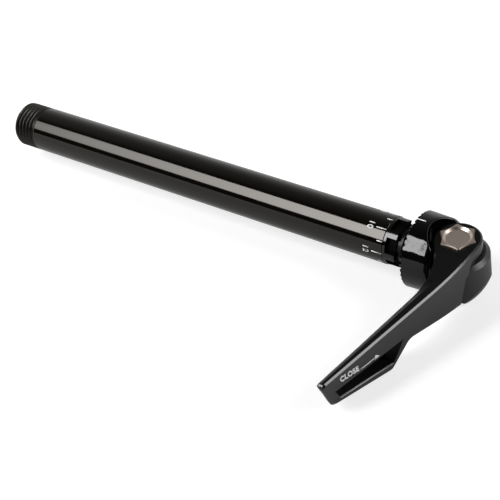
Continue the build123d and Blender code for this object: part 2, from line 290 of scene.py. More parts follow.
def strip(width, length):
    """A straight mark: a grid of points (across, up) in mm, five across and two up, starting at up = 0."""
    across, up = np.meshgrid(np.linspace(-width / 2, width / 2, 5), (0, length))
    row = np.arange(4)
    quads = np.stack((row, row + 1, row + 6, row + 5), axis=-1)
    faces = np.concatenate((quads[:, [0, 1, 2]], quads[:, [0, 2, 3]]))
    return np.stack((across.ravel(), up.ravel()), axis=-1), faces


mark_points, mark_faces, mark_count = [], [], 0
for number in range(1, 13):
    angle = np.radians(angle_of_twelve + 30 * (number - 12))
    tick = short_tick if number % 2 else long_tick
    marks = [(*strip(tick_width, tick), mark_right - tick)]
    if number % 2 == 0:
        marks.append((*lettering(str(number), number_height, number_weight), number_x))
    for flat, faces, start in marks:
        around = angle + flat[:, 0] / mark_radius
        mark_points.append(
            lying(start + flat[:, 1], mark_radius * np.cos(around), mark_radius * np.sin(around))
        )
        mark_faces.append(faces + mark_count)
        mark_count += len(flat)
scale_print = skin("index_scale_print", np.concatenate(mark_points), np.concatenate(mark_faces))
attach(scale_print, "axle")

# Pad printing ink: matt opaque white, a little uneven where the ink lay thinner, in spots of 0.4 mm.
white_ink = blank("white_pad_printing_ink")
tree = white_ink.node_tree
place = add(tree, "ShaderNodeTexCoord", {}, {})
patches = add(tree, "ShaderNodeTexNoise", {}, {
    "Vector": place.outputs["Object"], "Scale": 2500.0, "Detail": 3.0,
})
shade = add(tree, "ShaderNodeMix", {"data_type": "RGBA"}, {
    0: patches.outputs["Fac"], 6: linear("#d9d8d4"), 7: linear("#fbfbf9"),
})
shader = add(tree, "ShaderNodeBsdfPrincipled", {}, {
    "Base Color": shade.outputs[2], "Roughness": 0.55, "IOR": 1.45,
})
add(tree, "ShaderNodeOutputMaterial", {}, {"Surface": shader.outputs["BSDF"]})


def ink(piece, thickness):
    """Gives a flat print its film of white ink: thickness in mm, from the surface of the print inwards."""
    film = piece.modifiers.new("ink_film", "SOLIDIFY")
    film.thickness = thickness / 1000
    film.offset = -1
    piece.data.materials.append(white_ink)


ink(scale_print, 0.03)

# Index collar
# A turned aluminium ring on the hexagon of the spindle, slotted from the head side so that the head can be
# set in steps. Anodised gloss black.


def skin_of(node, name, crease=30):
    """Copy of a CAD solid as one joined skin: its loose triangles are merged, and it is smooth except where
    two faces meet at more than crease degrees."""
    mesh = frame["nodes"][node].data.copy()
    mesh.name = name
    joined = bmesh.new()
    joined.from_mesh(mesh)
    bmesh.ops.remove_doubles(joined, verts=joined.verts, dist=1e-6)
    joined.to_mesh(mesh)
    joined.free()
    if "custom_normal" in mesh.attributes:
        mesh.attributes.remove(mesh.attributes["custom_normal"])
    mesh.materials.clear()
    mesh.shade_smooth()
    mesh.set_sharp_from_angle(angle=np.radians(crease))
    piece = bpy.data.objects.new(name, mesh)
    bpy.context.scene.collection.objects.link(piece)
    piece.modifiers.new("even_shading", "WEIGHTED_NORMAL").keep_sharp = True
    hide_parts(node)
    return piece


collar = skin_of("index_collar", "index_collar_ring")
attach(collar, "axle")

# Anodised like the shaft but only turned, not polished: neutral black, with a slight satin veil that varies
# over 1.4 mm.
collar_black = blank("black_anodised_aluminium_turned")
tree = collar_black.node_tree
place = add(tree, "ShaderNodeTexCoord", {}, {})
haze = add(tree, "ShaderNodeTexNoise", {}, {
    "Vector": place.outputs["Object"], "Scale": 700.0, "Detail": 4.0,
})
gloss = add(tree, "ShaderNodeMapRange", {}, {"Value": haze.outputs["Fac"], "To Min": 0.08, "To Max": 0.14})
relief = add(tree, "ShaderNodeBump", {}, {
    "Height": haze.outputs["Fac"], "Strength": 0.05, "Distance": 0.0001,
})
shader = add(tree, "ShaderNodeBsdfPrincipled", {}, {
    "Base Color": linear("#070706"), "Roughness": gloss.outputs["Result"], "IOR": 1.48,
    "Normal": relief.outputs["Normal"],
})
add(tree, "ShaderNodeOutputMaterial", {}, {"Surface": shader.outputs["BSDF"]})
collar.data.materials.append(collar_black)

# In the slots the black is deepened and the gloss turned almost off: painted shade, so that they stay dead
# black where the rim of the ring shines. A faint grain is drawn at 0.3 mm.
slot_black_painted_shade = blank("black_anodised_aluminium_slot_painted_shade")
tree = slot_black_painted_shade.node_tree
place = add(tree, "ShaderNodeTexCoord", {}, {})
grain = add(tree, "ShaderNodeTexNoise", {}, {
    "Vector": place.outputs["Object"], "Scale": 3300.0, "Detail": 3.0,
})
shade = add(tree, "ShaderNodeMix", {"data_type": "RGBA"}, {
    0: grain.outputs["Fac"], 6: linear("#040303"), 7: linear("#0a0808"),
})
shader = add(tree, "ShaderNodeBsdfPrincipled", {}, {
    "Base Color": shade.outputs[2], "Roughness": 0.7, "Specular IOR Level": 0.04,
})
add(tree, "ShaderNodeOutputMaterial", {}, {"Surface": shader.outputs["BSDF"]})
collar.data.materials.append(slot_black_painted_shade)

ring_rim = 7.0
(face_x, face_y, face_z), _ = faces_of(collar)
# Faces inside ring_rim, in the slots, get the painted shade.
in_slot = np.hypot(face_y, face_z) < ring_rim
collar.data.polygons.foreach_set("material_index", in_slot.astype(int))

# Draw spindle
# A turned steel bar inside the head. Its eye goes over the cam, its hexagon keys it to the collar and the
# shaft, and the inner screw is threaded into its end. Only the shoulder shows, between collar and head.

spindle = skin_of("draw_spindle", "draw_spindle_bar")
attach(spindle, "axle")

# Turned carbon steel with a dark phosphate: grey metal with rings from the tool, drawn at 0.3 mm.
dark_steel = blank("phosphated_turned_steel")
tree = dark_steel.node_tree
place = add(tree, "ShaderNodeTexCoord", {}, {})
stretch = add(tree, "ShaderNodeMapping", {}, {"Vector": place.outputs["Object"], "Scale": (3300, 100, 100)})
rings = add(tree, "ShaderNodeTexNoise", {}, {
    "Vector": stretch.outputs["Vector"], "Scale": 1.0, "Detail": 2.0,
})
relief = add(tree, "ShaderNodeBump", {}, {
    "Height": rings.outputs["Fac"], "Strength": 0.15, "Distance": 0.0001,
})
shader = add(tree, "ShaderNodeBsdfPrincipled", {}, {
    "Base Color": linear("#2c2b2a"), "Metallic": 1.0, "Roughness": 0.35, "Normal": relief.outputs["Normal"],
})
add(tree, "ShaderNodeOutputMaterial", {}, {"Surface": shader.outputs["BSDF"]})
spindle.data.materials.append(dark_steel)

# Spindle screw and washer
# A cap screw of blackened steel and a flat washer of plated steel, deep in the bore. The screw is turned with
# a key through the threaded end and draws the spindle into the shaft.

spindle_screw = skin_of("spindle_screw", "spindle_screw_cap")
spindle_washer = skin_of("spindle_washer", "spindle_washer_flat")
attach(spindle_screw, "axle")
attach(spindle_washer, "axle")

# Black oxide on steel: nearly black, slightly blue, with an oily half gloss that clouds over about 1 mm.
black_oxide = blank("black_oxide_steel")
tree = black_oxide.node_tree
place = add(tree, "ShaderNodeTexCoord", {}, {})
bloom = add(tree, "ShaderNodeTexNoise", {}, {
    "Vector": place.outputs["Object"], "Scale": 900.0, "Detail": 4.0,
})
shade = add(tree, "ShaderNodeMix", {"data_type": "RGBA"}, {
    0: bloom.outputs["Fac"], 6: linear("#26272a"), 7: linear("#34353a"),
})
gloss = add(tree, "ShaderNodeMapRange", {}, {"Value": bloom.outputs["Fac"], "To Min": 0.28, "To Max": 0.45})
shader = add(tree, "ShaderNodeBsdfPrincipled", {}, {
    "Base Color": shade.outputs[2], "Metallic": 1.0, "Roughness": gloss.outputs["Result"],
})
add(tree, "ShaderNodeOutputMaterial", {}, {"Surface": shader.outputs["BSDF"]})
spindle_screw.data.materials.append(black_oxide)

# Zinc plate on pressed steel: bright blue-white grey with a fine cloudy grain of 0.8 mm.
bright_zinc = blank("zinc_plated_steel")
tree = bright_zinc.node_tree
place = add(tree, "ShaderNodeTexCoord", {}, {})
cloud = add(tree, "ShaderNodeTexNoise", {}, {
    "Vector": place.outputs["Object"], "Scale": 1200.0, "Detail": 5.0,
})
shade = add(tree, "ShaderNodeMix", {"data_type": "RGBA"}, {
    0: cloud.outputs["Fac"], 6: linear("#a9abad"), 7: linear("#c9cbcd"),
})
gloss = add(tree, "ShaderNodeMapRange", {}, {"Value": cloud.outputs["Fac"], "To Min": 0.22, "To Max": 0.4})
shader = add(tree, "ShaderNodeBsdfPrincipled", {}, {
    "Base Color": shade.outputs[2], "Metallic": 1.0, "Roughness": gloss.outputs["Result"],
})
add(tree, "ShaderNodeOutputMaterial", {}, {"Surface": shader.outputs["BSDF"]})
spindle_washer.data.materials.append(bright_zinc)

# Guide bush and neck seal
# A moulded plastic sleeve pressed into the drum, in which the spindle slides. A square cut rubber ring sits
# in a groove of its nose and keeps dirt out of the neck.

guide = skin_of("guide_bush", "guide_bush_sleeve")
seal = skin_of("neck_seal", "neck_seal_ring")
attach(guide, "head")
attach(seal, "head")

# Moulded acetal: dull black with the fine spark-eroded grain of the mould, about 0.1 mm, drawn at 0.3 mm.
# Its gloss is turned almost off: painted shade for the neck, which lies recessed between collar and drum.
black_acetal_painted_shade = blank("black_acetal_moulded_painted_shade")
tree = black_acetal_painted_shade.node_tree
place = add(tree, "ShaderNodeTexCoord", {}, {})
grain = add(tree, "ShaderNodeTexNoise", {}, {
    "Vector": place.outputs["Object"], "Scale": 3300.0, "Detail": 2.0,
})
relief = add(tree, "ShaderNodeBump", {}, {
    "Height": grain.outputs["Fac"], "Strength": 0.2, "Distance": 0.0001,
})
shader = add(tree, "ShaderNodeBsdfPrincipled", {}, {
    "Base Color": linear("#080808"), "Roughness": 0.9, "Specular IOR Level": 0.03,
    "Normal": relief.outputs["Normal"],
})
add(tree, "ShaderNodeOutputMaterial", {}, {"Surface": shader.outputs["BSDF"]})
guide.data.materials.append(black_acetal_painted_shade)

# Nitrile rubber: soft matt black with a faint grey bloom, in patches of 1.2 mm.
# Its gloss is turned almost off: painted shade for the recessed neck.
black_rubber_painted_shade = blank("nitrile_rubber_painted_shade")
tree = black_rubber_painted_shade.node_tree
place = add(tree, "ShaderNodeTexCoord", {}, {})
bloom = add(tree, "ShaderNodeTexNoise", {}, {
    "Vector": place.outputs["Object"], "Scale": 800.0, "Detail": 3.0,
})
shade = add(tree, "ShaderNodeMix", {"data_type": "RGBA"}, {
    0: bloom.outputs["Fac"], 6: linear("#070707"), 7: linear("#0e0e0d"),
})
shader = add(tree, "ShaderNodeBsdfPrincipled", {}, {
    "Base Color": shade.outputs[2], "Roughness": 0.95, "Specular IOR Level": 0.03,
})
add(tree, "ShaderNodeOutputMaterial", {}, {"Surface": shader.outputs["BSDF"]})
seal.data.materials.append(black_rubber_painted_shade)

# Clamp housing
# The cast aluminium head: a drum whose toothed face grips the fork, and a round barrel that holds the cam. It
# is coated gloss black, and one white line on the drum points at the scale.

housing = skin_of("clamp_housing", "clamp_housing_shell")
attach(housing, "head")

# Baked gloss coating on a casting: clear deep black whose reflections waver with a faint orange peel of 2 mm.
gloss_coat = blank("gloss_black_baked_coating")
tree = gloss_coat.node_tree
place = add(tree, "ShaderNodeTexCoord", {}, {})
peel = add(tree, "ShaderNodeTexNoise", {}, {
    "Vector": place.outputs["Object"], "Scale": 500.0, "Detail": 2.0,
})
relief = add(tree, "ShaderNodeBump", {}, {
    "Height": peel.outputs["Fac"], "Strength": 0.06, "Distance": 0.0002,
})
gloss = add(tree, "ShaderNodeMapRange", {}, {"Value": peel.outputs["Fac"], "To Min": 0.05, "To Max": 0.09})
shader = add(tree, "ShaderNodeBsdfPrincipled", {}, {
    "Base Color": linear("#060606"), "Roughness": gloss.outputs["Result"], "IOR": 1.42,
    "Normal": relief.outputs["Normal"],
})
add(tree, "ShaderNodeOutputMaterial", {}, {"Surface": shader.outputs["BSDF"]})
housing.data.materials.append(gloss_coat)

# The same coating over the blasted end of the barrel: dark grey satin, with the grain of the blasting,
# 0.3 mm.
satin_coat = blank("satin_black_baked_coating")
tree = satin_coat.node_tree
place = add(tree, "ShaderNodeTexCoord", {}, {})
grain = add(tree, "ShaderNodeTexNoise", {}, {
    "Vector": place.outputs["Object"], "Scale": 3300.0, "Detail": 3.0,
})
shade = add(tree, "ShaderNodeMix", {"data_type": "RGBA"}, {
    0: grain.outputs["Fac"], 6: linear("#1c1c1c"), 7: linear("#303030"),
})
relief = add(tree, "ShaderNodeBump", {}, {
    "Height": grain.outputs["Fac"], "Strength": 0.15, "Distance": 0.0001,
})
shader = add(tree, "ShaderNodeBsdfPrincipled", {}, {
    "Base Color": shade.outputs[2], "Roughness": 0.4, "IOR": 1.5, "Normal": relief.outputs["Normal"],
})
add(tree, "ShaderNodeOutputMaterial", {}, {"Surface": shader.outputs["BSDF"]})
housing.data.materials.append(satin_coat)

drum_end = 167.6
(face_x, face_y, face_z), _ = faces_of(housing)
on_barrel = face_x > drum_end
housing.data.polygons.foreach_set("material_index", on_barrel.astype(int))

# The line that points at the scale is a strip along the drum, whose radius shrinks evenly by drum_taper over
# drum_length.
pointer_start = 158.45
pointer_width = 0.42
pointer_length = 2.8
pointer_radius = 11.83
drum_face = 158
drum_length = 9.53
drum_taper = 0.3
pointer_angle = np.radians(90)
flat, faces = strip(pointer_width, pointer_length)
along_drum = pointer_start + flat[:, 1]
on_drum = pointer_radius - drum_taper * (along_drum - drum_face) / drum_length
around = pointer_angle + flat[:, 0] / on_drum
pointer = skin(
    "drum_pointer_print", lying(along_drum, on_drum * np.cos(around), on_drum * np.sin(around)), faces,
)
ink(pointer, 0.04)
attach(pointer, "head")

# Cam bushes
# Two sintered bronze bushes pressed into the barrel above and below the eye, in which the cam turns. The
# flange of the upper one carries the lever.

upper_bush = skin_of("upper_cam_bush", "upper_cam_bush_ring")
lower_bush = skin_of("lower_cam_bush", "lower_cam_bush_ring")

# Sintered bronze: dull brown gold, speckled by its pores, which are about 0.05 mm and drawn at 0.2 mm.
bronze = blank("sintered_bronze")
tree = bronze.node_tree
place = add(tree, "ShaderNodeTexCoord", {}, {})
pores = add(tree, "ShaderNodeTexVoronoi", {}, {"Vector": place.outputs["Object"], "Scale": 5000.0})
shade = add(tree, "ShaderNodeMix", {"data_type": "RGBA"}, {
    0: pores.outputs["Distance"], 6: linear("#6b4a2a"), 7: linear("#b98a55"),
})
shader = add(tree, "ShaderNodeBsdfPrincipled", {}, {
    "Base Color": shade.outputs[2], "Metallic": 1.0, "Roughness": 0.45,
})
add(tree, "ShaderNodeOutputMaterial", {}, {"Surface": shader.outputs["BSDF"]})
for bush in (upper_bush, lower_bush):
    bush.data.materials.append(bronze)
    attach(bush, "head")

# Cam shaft
# The steel cam that the lever turns. Its six pointed star head is keyed into the cheek of the lever and
# dished in the middle, and an eccentric below pulls the spindle. Plated in satin nickel.

star_crease = 25
cam = skin_of("cam_shaft", "cam_shaft_star", star_crease)
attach(cam, "lever")

# Satin nickel: warm grey metal with a soft brushed bloom that spreads its highlights. Grain drawn at 0.4 mm.
satin_nickel = blank("satin_nickel_plate")
tree = satin_nickel.node_tree
place = add(tree, "ShaderNodeTexCoord", {}, {})
bloom = add(tree, "ShaderNodeTexNoise", {}, {
    "Vector": place.outputs["Object"], "Scale": 2500.0, "Detail": 4.0,
})
shade = add(tree, "ShaderNodeMix", {"data_type": "RGBA"}, {
    0: bloom.outputs["Fac"], 6: linear("#c6b5a8"), 7: linear("#e6d8cc"),
})
gloss = add(tree, "ShaderNodeMapRange", {}, {"Value": bloom.outputs["Fac"], "To Min": 0.26, "To Max": 0.36})
relief = add(tree, "ShaderNodeBump", {}, {
    "Height": bloom.outputs["Fac"], "Strength": 0.1, "Distance": 0.0001,
})
shader = add(tree, "ShaderNodeBsdfPrincipled", {}, {
    "Base Color": shade.outputs[2], "Metallic": 1.0, "Roughness": gloss.outputs["Result"],
    "Normal": relief.outputs["Normal"],
})
add(tree, "ShaderNodeOutputMaterial", {}, {"Surface": shader.outputs["BSDF"]})
cam.data.materials.append(satin_nickel)

# The sloped edge of the star is given dull dark steel in place of the nickel: painted shade, so that it
# doesn't flare in the lights. A grain is drawn at 0.3 mm.
star_edge_painted_shade = blank("star_edge_painted_shade_steel")
tree = star_edge_painted_shade.node_tree
place = add(tree, "ShaderNodeTexCoord", {}, {})
edge_grain = add(tree, "ShaderNodeTexNoise", {}, {
    "Vector": place.outputs["Object"], "Scale": 3300.0, "Detail": 2.0,
})
shade = add(tree, "ShaderNodeMix", {"data_type": "RGBA"}, {
    0: edge_grain.outputs["Fac"], 6: linear("#665e57"), 7: linear("#857a72"),
})
shader = add(tree, "ShaderNodeBsdfPrincipled", {}, {
    "Base Color": shade.outputs[2], "Metallic": 1.0, "Roughness": 0.5,
})
add(tree, "ShaderNodeOutputMaterial", {}, {"Surface": shader.outputs["BSDF"]})
cam.data.materials.append(star_edge_painted_shade)

pivot_x = swing["pos_m"][0] * 1000
star_edge_height = 9.4
# The star's outer slopes above star_edge_height get the painted shade.
(face_x, face_y, face_z), (normal_x, normal_y, normal_z) = faces_of(cam)
looks_away = (face_x - pivot_x) * normal_x + face_y * normal_y > 0
slopes = (normal_z > 0.3) & (normal_z < 0.95)
on_edge = looks_away & slopes & (face_z > star_edge_height)
cam.data.polygons.foreach_set("material_index", on_edge.astype(int))

# Cam washer and screw
# A small screw of blackened steel and a plated washer in a recess under the barrel. They hold the cam down in
# its bushes.

cam_washer = skin_of("cam_washer", "cam_washer_flat")
cam_screw = skin_of("cam_screw", "cam_screw_cap")
cam_washer.data.materials.append(bright_zinc)
cam_screw.data.materials.append(black_oxide)
for fastener in (cam_washer, cam_screw):
    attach(fastener, "lever")

# Lever
# A forged aluminium arm: a round cheek on the star of the cam, and a long blade that drops to a paddle with a
# finger pocket. It is polished outside and anodised black, with painted shade in the pocket and on the top,
# and the word on the paddle is printed.

lever_crease = 25
lever = skin_of("lever", "lever_arm", lever_crease)
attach(lever, "lever")

# Forged aluminium, vibration polished and anodised: charcoal black with a satin sheen. Its grain is drawn at
# 0.4 mm, and the sheen varies over about 7 mm.
forged_black = blank("black_anodised_forged_aluminium")
tree = forged_black.node_tree
place = add(tree, "ShaderNodeTexCoord", {}, {})
grain = add(tree, "ShaderNodeTexNoise", {}, {
    "Vector": place.outputs["Object"], "Scale": 2500.0, "Detail": 3.0,
})
haze = add(tree, "ShaderNodeTexNoise", {}, {
    "Vector": place.outputs["Object"], "Scale": 150.0, "Detail": 3.0,
})
gloss = add(tree, "ShaderNodeMapRange", {}, {"Value": haze.outputs["Fac"], "To Min": 0.14, "To Max": 0.22})
relief = add(tree, "ShaderNodeBump", {}, {
    "Height": grain.outputs["Fac"], "Strength": 0.08, "Distance": 0.0001,
})
shader = add(tree, "ShaderNodeBsdfPrincipled", {}, {
    "Base Color": linear("#0c0c0c"), "Roughness": gloss.outputs["Result"], "IOR": 1.5,
    "Normal": relief.outputs["Normal"],
})
add(tree, "ShaderNodeOutputMaterial", {}, {"Surface": shader.outputs["BSDF"]})
lever.data.materials.append(forged_black)

# The arm's outer face leans by face_lean. The top changes between painted shade and the worn band at two
# lines, which are cut into the mesh: the rim line along the arm, and one across it where the cheek begins.
face_lean = np.radians(11.1)
face_offset = 9.04 + ink_height
rim_lean = np.radians(9.26)
rim_offset = 5.7
rim_out = lying(np.cos(rim_lean), -np.sin(rim_lean), 0) * 1000
rim_point = lying(pivot_x + rim_offset * np.cos(rim_lean), -rim_offset * np.sin(rim_lean), 0)
band_start = 18
band_way = lying(-np.sin(rim_lean), -np.cos(rim_lean), 0) * 1000
band_point = rim_point + band_way * band_start / 1000
cut_precision = 1e-7


def on_arm(along, height):
    """Points on the flat outer face of the arm, from their distance along it from the pivot and their height:
    the pivot, plus the face's offset along its normal, plus the distance along the face."""
    x = pivot_x + face_offset * np.cos(face_lean) - along * np.sin(face_lean)
    y = -face_offset * np.sin(face_lean) - along * np.cos(face_lean)
    return lying(x, y, height)


def arm_place(x, y):
    """Distance along the arm and depth below its outer face, of points at x and y in mm: how far they lie
    from the pivot along the face, and the face's offset less how far they lie along its normal."""
    along = -(x - pivot_x) * np.sin(face_lean) - y * np.cos(face_lean)
    depth = face_offset - (x - pivot_x) * np.cos(face_lean) + y * np.sin(face_lean)
    return along, depth


def cut(piece, chosen, point, normal):
    """Cuts the chosen faces of a piece along the plane through a point, so that an edge runs there."""
    shape = bmesh.new()
    shape.from_mesh(piece.data)
    shape.faces.ensure_lookup_table()
    faces = [shape.faces[index] for index in np.flatnonzero(chosen)]
    edges = list(dict.fromkeys(edge for face in faces for edge in face.edges))
    verts = list(dict.fromkeys(vert for face in faces for vert in face.verts))
    bmesh.ops.bisect_plane(
        shape, geom=faces + edges + verts, dist=cut_precision, plane_co=point, plane_no=normal,
    )
    shape.to_mesh(piece.data)
    shape.free()


for point, normal in ((rim_point, rim_out), (band_point, band_way)):
    every_face = np.full(len(lever.data.polygons), True)
    cut(lever, every_face, point, normal)

# The lower lip of the pocket is broken at 45 degrees: one cut in the outer face, lip_break below the lip, one
# in the sloped wall of the pocket, lip_depth behind it, and the lip moved back to the line between them.
lip_start, lip_end = np.array([(39.5, -3.95), (60.49, 0.35)])
lip_slope = (lip_end[1] - lip_start[1]) / (lip_end[0] - lip_start[0])
lip_break = 0.26
lip_share_out, lip_share_down = 0.63, 0.37
lip_depth = 2 * lip_share_out * lip_break
lip_point = on_arm(*lip_start)
lip_up = on_arm(lip_start[0] - lip_slope, lip_start[1] + 1) - lip_point
lip_up /= np.linalg.norm(lip_up)
arm_out = lying(np.cos(face_lean), -np.sin(face_lean), 0) * 1000
lip_shift = (lip_share_out * arm_out + lip_share_down * lip_up) * lip_break / 1000
lip_margin = 0.1
surface_depth = 0.1
wall_top = 3

(face_x, face_y, face_z), (normal_x, normal_y, normal_z) = faces_of(lever)
face_along, face_depth = arm_place(face_x, face_y)
looks_out = normal_x * np.cos(face_lean) - normal_y * np.sin(face_lean)
outer = (looks_out > 0.99) & (face_depth < surface_depth)
cut(lever, outer, lip_point - lip_up * lip_break / 1000, lip_up)

(face_x, face_y, face_z), normals = faces_of(lever)
face_along, face_depth = arm_place(face_x, face_y)
looks_up = lying(*normals) @ lip_up * 1000
in_reach = (face_along > lip_start[0]) & (face_along < lip_end[0]) & (face_z < wall_top)
cut(lever, in_reach & (looks_up > 0.9), lip_point - arm_out * lip_depth / 1000, arm_out)

points = np.empty(len(lever.data.vertices) * 3)
lever.data.vertices.foreach_get("co", points)
point_x, point_y, point_z = standing(points)
point_along, point_depth = arm_place(point_x, point_y)
above_lip = point_z - lip_start[1] - lip_slope * (point_along - lip_start[0])
in_reach = (point_along > lip_start[0] - lip_margin) & (point_along < lip_end[0] + lip_margin)
on_lip = in_reach & (np.abs(above_lip) < lip_margin / 3) & (point_depth < surface_depth / 2)
points.reshape(-1, 3)[on_lip] -= lip_shift
lever.data.vertices.foreach_set("co", points)
lever.data.update()
lever.data.set_sharp_from_angle(angle=np.radians(lever_crease))

# In the finger pocket and on most of the top the black is deepened and the gloss turned almost off: painted
# shade, so that they look deep black. A faint grain is drawn at 0.3 mm.
pocket_black_painted_shade = blank("black_anodised_forged_aluminium_painted_shade")
tree = pocket_black_painted_shade.node_tree
place = add(tree, "ShaderNodeTexCoord", {}, {})
grain = add(tree, "ShaderNodeTexNoise", {}, {
    "Vector": place.outputs["Object"], "Scale": 3300.0, "Detail": 3.0,
})
shade = add(tree, "ShaderNodeMix", {"data_type": "RGBA"}, {
    0: grain.outputs["Fac"], 6: linear("#040404"), 7: linear("#090909"),
})
relief = add(tree, "ShaderNodeBump", {}, {
    "Height": grain.outputs["Fac"], "Strength": 0.2, "Distance": 0.0001,
})
shader = add(tree, "ShaderNodeBsdfPrincipled", {}, {
    "Base Color": shade.outputs[2], "Roughness": 0.55, "Specular IOR Level": 0.12,
    "Normal": relief.outputs["Normal"],
})
add(tree, "ShaderNodeOutputMaterial", {}, {"Surface": shader.outputs["BSDF"]})
lever.data.materials.append(pocket_black_painted_shade)

# Along the inner edge of the arm's top the polishing wears the same metal away, over about 1 mm: the surface
# falls to the inside at 30 degrees and shows as a soft light band. It fades out towards the cheek, where its
# specular level also falls from 0.5 to 0.08: a painted sheen that dims the band there.
worn_black_painted_sheen = forged_black.copy()
worn_black_painted_sheen.name = "black_anodised_forged_aluminium_worn_painted_sheen"
tree = worn_black_painted_sheen.node_tree
place = tree.nodes["Texture Coordinate"]
rim_band = 0.002
rim_fall = 0.58
band_fade = 0.012
rim_edge = rim_point @ rim_out
band_edge = band_point @ band_way
inset = add(tree, "ShaderNodeVectorMath", {"operation": "DOT_PRODUCT"}, {
    0: place.outputs["Object"], 1: tuple(rim_out),
})
fall = add(tree, "ShaderNodeMapRange", {}, {
    "Value": inset.outputs["Value"], "From Min": rim_edge - rim_band, "From Max": rim_edge,
    "To Min": -rim_band * rim_fall, "To Max": 0.0,
})
reach = add(tree, "ShaderNodeVectorMath", {"operation": "DOT_PRODUCT"}, {
    0: place.outputs["Object"], 1: tuple(band_way),
})
fade = add(tree, "ShaderNodeMapRange", {}, {
    "Value": reach.outputs["Value"], "From Min": band_edge, "From Max": band_edge + band_fade,
})
# Painted sheen: the specular level rises from 0.08 at the cheek to 0.5 along the band.
sheen = add(tree, "ShaderNodeMapRange", {}, {"Value": fade.outputs["Result"], "To Min": 0.08, "To Max": 0.5})
tree.links.new(sheen.outputs["Result"], tree.nodes["Principled BSDF"].inputs["Specular IOR Level"])
drop = add(tree, "ShaderNodeMath", {"operation": "MULTIPLY"}, {
    0: fall.outputs["Result"], 1: fade.outputs["Result"],
})
worn = add(tree, "ShaderNodeBump", {}, {"Height": drop.outputs["Value"], "Strength": 1.0, "Distance": 1.0})
tree.links.new(worn.outputs["Normal"], tree.nodes["Bump"].inputs["Normal"])
lever.data.materials.append(worn_black_painted_sheen)

# The floor and walls of the pocket are told from the faces round them by where they look and how deep they
# lie. The top's faces are those that look straight up, at top_height.
paddle_start, paddle_end, paddle_top = 34, 65, 7
pocket_depth = 0.4
tip_wall_start, cheek_wall_end, upper_wall_bottom = 55, 52, 1
top_height = 8.9
(face_x, face_y, face_z), (normal_x, normal_y, normal_z) = faces_of(lever)
face_along, face_depth = arm_place(face_x, face_y)
looks_out = normal_x * np.cos(face_lean) - normal_y * np.sin(face_lean)
looks_tipward = -normal_x * np.sin(face_lean) - normal_y * np.cos(face_lean)
in_paddle = (face_along > paddle_start) & (face_along < paddle_end) & (face_z < paddle_top)
pocket_floor = (looks_out > 0.5) & (face_depth > pocket_depth)
pocket_sides = (normal_z > 0.3) | ((normal_z < -0.3) & (face_z > upper_wall_bottom))
pocket_tip_end = (looks_tipward < -0.3) & (face_along > tip_wall_start)
pocket_cheek_end = (looks_tipward > 0.2) & (looks_out > 0.2) & (face_along < cheek_wall_end)
pocket_walls = pocket_floor | pocket_sides | pocket_tip_end | pocket_cheek_end
in_pocket = in_paddle & pocket_walls & (face_depth > surface_depth)
above_lip = face_z - lip_start[1] - lip_slope * (face_along - lip_start[0])
on_lip = (np.abs(above_lip) < lip_break) & (face_depth < lip_depth) & (looks_out > 0.4)
past_rim = (face_x - pivot_x) * np.cos(rim_lean) - face_y * np.sin(rim_lean) > rim_offset
past_cheek = -(face_x - pivot_x) * np.sin(rim_lean) - face_y * np.cos(rim_lean) > band_start
on_top = (normal_z > 0.99) & (face_z > top_height)
on_band = on_top & past_cheek & ~past_rim
# Faces of the pocket, and of the top outside the worn band, get the painted shade.
painted_shade_faces = (in_pocket & ~on_lip) | (on_top & ~on_band)
lever.data.polygons.foreach_set("material_index", np.select([painted_shade_faces, on_band], [1, 2], 0))

# The word, a line that leads from its end, and an arrowhead, as (distance along the arm, height) in mm.
letter_height = 2.1
letter_weight = 0.045
word_length = 7.6
word_slant = 0.36
word_turn = np.radians(-10.6)
word_middle = (56.3, 5.75)
line_width = 0.36
route = np.array([(52.2, 4.15), (50.6, 3.98), (49.0, 3.88), (47.6, 3.85), (46.6, 3.9)])
arrow = np.array([(46.3, 4.75), (44.6, 3.35), (46.6, 3.05)])
word, word_faces = lettering("CLOSE", letter_height, letter_weight)
word[:, 0] -= word_slant * word[:, 1]
word = word * (word_length / np.ptp(word[:, 0]), 1)
word_along = word_middle[0] - word[:, 0] * np.cos(word_turn) + word[:, 1] * np.sin(word_turn)
word_height = word_middle[1] + word[:, 0] * np.sin(word_turn) + word[:, 1] * np.cos(word_turn)
heading = np.gradient(route, axis=0)
heading /= np.linalg.norm(heading, axis=1, keepdims=True)
side = np.stack((-heading[:, 1], heading[:, 0]), axis=-1) * line_width / 2
line = np.stack((route + side, route - side), axis=1).reshape(-1, 2)
step = np.arange(len(route) - 1) * 2
line_faces = np.concatenate([
    np.stack((step, step + 1, step + 3), axis=-1), np.stack((step, step + 3, step + 2), axis=-1),
])
print_points = np.concatenate([on_arm(word_along, word_height), on_arm(*line.T), on_arm(*arrow.T)])
print_faces = np.concatenate([
    word_faces, line_faces + len(word), np.array([[0, 1, 2]]) + len(word) + len(line),
])
close_print = skin("lever_close_print", print_points, print_faces)
ink(close_print, 0.03)
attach(close_print, "lever")

# Floor, lights and camera
# A plain white table, one large softbox in front on the left, brighter towards the head, one smaller softbox
# behind on the right for the edges of the lever, and a dim room that gets darker overhead.

floor_half = 4
floor_x, floor_y = np.meshgrid((-floor_half, floor_half), (-floor_half, floor_half))
floor_points = np.stack(np.broadcast_arrays(floor_x, floor_y, cad_low[2]), axis=-1)
floor = skin("studio_floor", floor_points, np.array([[0, 1, 3, 2]]))

